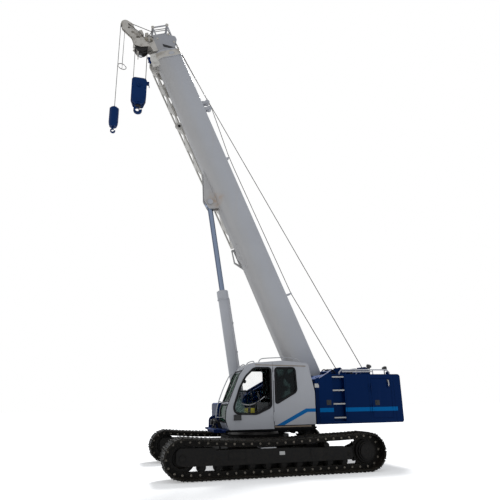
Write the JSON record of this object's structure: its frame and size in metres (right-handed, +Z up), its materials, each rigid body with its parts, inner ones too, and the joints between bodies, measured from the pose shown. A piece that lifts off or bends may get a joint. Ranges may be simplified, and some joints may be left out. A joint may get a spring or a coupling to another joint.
{
  "type": "crawler crane with telescopic boom",
  "caption": "Tracked crane with a slewing upper, a glazed cab, a telescopic boom raised by one cylinder, a stowed lattice jib, a hook block and a ball hook.",
  "frame": {"origin": "on the ground, under the slewing axis", "axes": "+X ahead, the way cab and boom face; +Y to the crane's left, the cab's side; +Z up"},
  "size_m": [8.0134, 4.5, 13.3179],
  "materials": {
    "black_paint": "worn satin",
    "track_steel": "worn, dusty",
    "navy_paint": "gloss",
    "grey_white_paint": "satin",
    "chrome": "polished",
    "steel": "bare",
    "rope": "greased",
    "sheave_black": "worn",
    "glass": "tinted",
    "seat_cloth": "woven",
    "dark_plastic": "grained",
    "engine_grey": "cast",
    "lamp": "gloss"
  },
  "bodies": {
    "carbody": {"carbody": "black_paint", "lashing_lugs": "black_paint", "slewing_ring": "steel"},
    "crawler_left": {"left_track": "track_steel", "left_idler": "black_paint", "left_sprocket": "black_paint", "left_rollers": "black_paint", "left_crawler_frame": "black_paint"},
    "crawler_right": {"right_track": "track_steel", "right_idler": "black_paint", "right_sprocket": "black_paint", "right_rollers": "black_paint", "right_crawler_frame": "black_paint"},
    "upper": {"turntable": "navy_paint", "counterweight": "navy_paint", "left_housing": "navy_paint", "right_housing": "navy_paint", "engine": "engine_grey", "fuel_tank": "navy_paint", "handrails": "grey_white_paint", "work_lamps": "lamp", "main_winch": "navy_paint", "auxiliary_winch": "navy_paint", "cab_floor": "black_paint", "cab_roof": "grey_white_paint", "cab_rear_panel": "grey_white_paint", "cab_front_frame": "grey_white_paint", "cab_left_panel": "grey_white_paint", "cab_right_panel": "grey_white_paint", "cab_glass": "glass", "seat": "seat_cloth", "consoles": "dark_plastic"},
    "cab_door": {"cab_door": "grey_white_paint", "cab_door_glass": "glass"},
    "left_housing_door": {"left_housing_door": "navy_paint"},
    "right_housing_door": {"right_housing_door": "navy_paint"},
    "boom_base": {"boom_base": "grey_white_paint", "lattice_jib": "grey_white_paint", "hoist_ropes": "rope"},
    "boom_section_2": {"boom_section_2": "grey_white_paint"},
    "boom_section_3": {"boom_section_3": "grey_white_paint"},
    "boom_tip": {"boom_tip": "grey_white_paint", "head_sheaves": "sheave_black", "rooster": "grey_white_paint", "rooster_sheave": "sheave_black"},
    "luffing_rod": {"luffing_rod": "chrome"},
    "luffing_barrel": {"luffing_barrel": "grey_white_paint"},
    "main_hook": {"main_hook_block": "navy_paint", "block_sheaves": "sheave_black", "main_falls": "rope"},
    "ball_hook": {"ball_hook": "navy_paint", "ball_fall": "rope"}
  },
  "joints": [
    {"name": "slew", "type": "hinge", "parent": "carbody", "child": "upper", "pos_m": [0, 0, 0.85], "axis": [0, 0, 1], "continuous": true},
    {"name": "crawler_left_travel", "type": "slide", "parent": "carbody", "child": "crawler_left", "axis": [0, -1, 0], "range_m": [0, 0.6]},
    {"name": "crawler_right_travel", "type": "slide", "parent": "carbody", "child": "crawler_right", "axis": [0, 1, 0], "range_m": [0, 0.6]},
    {"name": "cab_door_swing", "type": "hinge", "parent": "upper", "child": "cab_door", "pos_m": [-0.155, 1.314, 1.7], "axis": [0, 0, 1], "range_deg": [0, 95]},
    {"name": "left_housing_door_swing", "type": "hinge", "parent": "upper", "child": "left_housing_door", "pos_m": [-2.83, 1.314, 1.6], "axis": [0, 0, -1], "range_deg": [0, 110]},
    {"name": "right_housing_door_swing", "type": "hinge", "parent": "upper", "child": "right_housing_door", "pos_m": [-2.83, -1.314, 1.6], "axis": [0, 0, 1], "range_deg": [0, 110]},
    {"name": "boom_luff", "type": "hinge", "parent": "upper", "child": "boom_base", "pos_m": [-1.6, 0, 2], "axis": [0, -1, 0], "range_deg": [-67.2, 12.8]},
    {"name": "telescope_2", "type": "slide", "parent": "boom_base", "child": "boom_section_2", "axis": [0.3875, 0, 0.9219], "range_m": [0, 6.5]},
    {"name": "telescope_3", "type": "slide", "parent": "boom_section_2", "child": "boom_section_3", "axis": [0.3875, 0, 0.9219], "range_m": [0, 6.5]},
    {"name": "telescope_tip", "type": "slide", "parent": "boom_section_3", "child": "boom_tip", "axis": [0.3875, 0, 0.9219], "range_m": [0, 6.5]},
    {"name": "main_hook_hang", "type": "hinge", "parent": "boom_tip", "child": "main_hook", "pos_m": [3.4867, 0, 12.3471], "axis": [0, -1, 0], "range_deg": [-12.8, 67.2]},
    {"name": "ball_hook_hang", "type": "hinge", "parent": "boom_tip", "child": "ball_hook", "pos_m": [4.0436, 0, 13.1547], "axis": [0, -1, 0], "range_deg": [-12.8, 67.2]},
    {"name": "luffing_rod_eye", "type": "hinge", "parent": "boom_base", "child": "luffing_rod", "pos_m": [1.25496, 0, 7.24336], "axis": [0, -1, 0], "range_deg": [-11.6, 2.3]},
    {"name": "luffing_stroke", "type": "slide", "parent": "luffing_rod", "child": "luffing_barrel", "axis": [-0.1465, 0, -0.9892], "range_m": [-2.14, 0.42]}
  ],
  "couplings": [
    {"joint": "telescope_3", "follows": "telescope_2", "ratio": 1},
    {"joint": "telescope_tip", "follows": "telescope_2", "ratio": 1},
    {"joint": "main_hook_hang", "follows": "boom_luff", "ratio": -1},
    {"joint": "ball_hook_hang", "follows": "boom_luff", "ratio": -1},
    {"joint": "luffing_rod_eye", "follows": "boom_luff", "ratio": 0.17114},
    {"joint": "luffing_stroke", "follows": "boom_luff", "m_per_rad": 1.8112}
  ]
}
